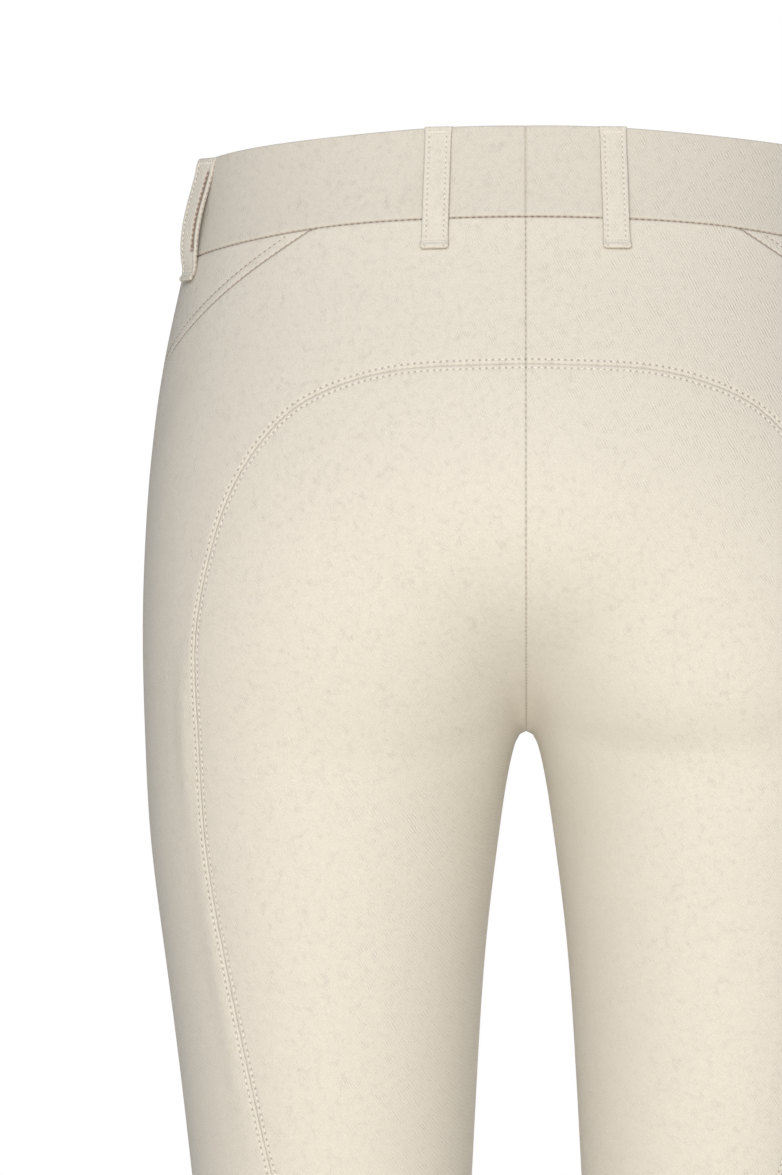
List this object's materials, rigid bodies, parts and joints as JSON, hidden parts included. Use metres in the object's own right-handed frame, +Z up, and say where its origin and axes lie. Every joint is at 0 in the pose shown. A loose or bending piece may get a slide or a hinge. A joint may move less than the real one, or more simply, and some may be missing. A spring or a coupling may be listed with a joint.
{
  "type": "riding breeches",
  "caption": "Women's full-seat riding breeches in stretch twill, filled out, with a belt-loop waistband, zip fly and knit cuffs.",
  "frame": {"origin": "centre of the waist, at the middle of the waistband's height at centre back, where the wearer holds the breeches up", "axes": "+Z up along the legs to the waist, +X to the wearer's left, -Y to the front"},
  "size_m": [0.347, 0.2432, 0.9464],
  "materials": {
    "cloth": "fine stretch twill, cream beige, matt with a faint sheen",
    "seat_cloth": "the same stretch twill, full seat",
    "rib_knit": "fine rib stretch knit",
    "button": "satin resin button",
    "zip": "woven zip tape and twill shield"
  },
  "bodies": {
    "root": {"back_left": "cloth", "back_right": "cloth", "front_left": "cloth", "front_right": "cloth", "waistband_left": "cloth", "waistband_right": "cloth", "loop_back_left": "cloth", "loop_back_right": "cloth", "loop_side_left": "cloth", "loop_side_right": "cloth", "loop_front_left": "cloth", "loop_front_right": "cloth", "button_stand": "cloth", "seat_left": "seat_cloth", "seat_right": "seat_cloth", "cuff_left": "rib_knit", "cuff_right": "rib_knit", "waist_button": "button", "fly_zip": "zip"}
  },
  "joints": []
}
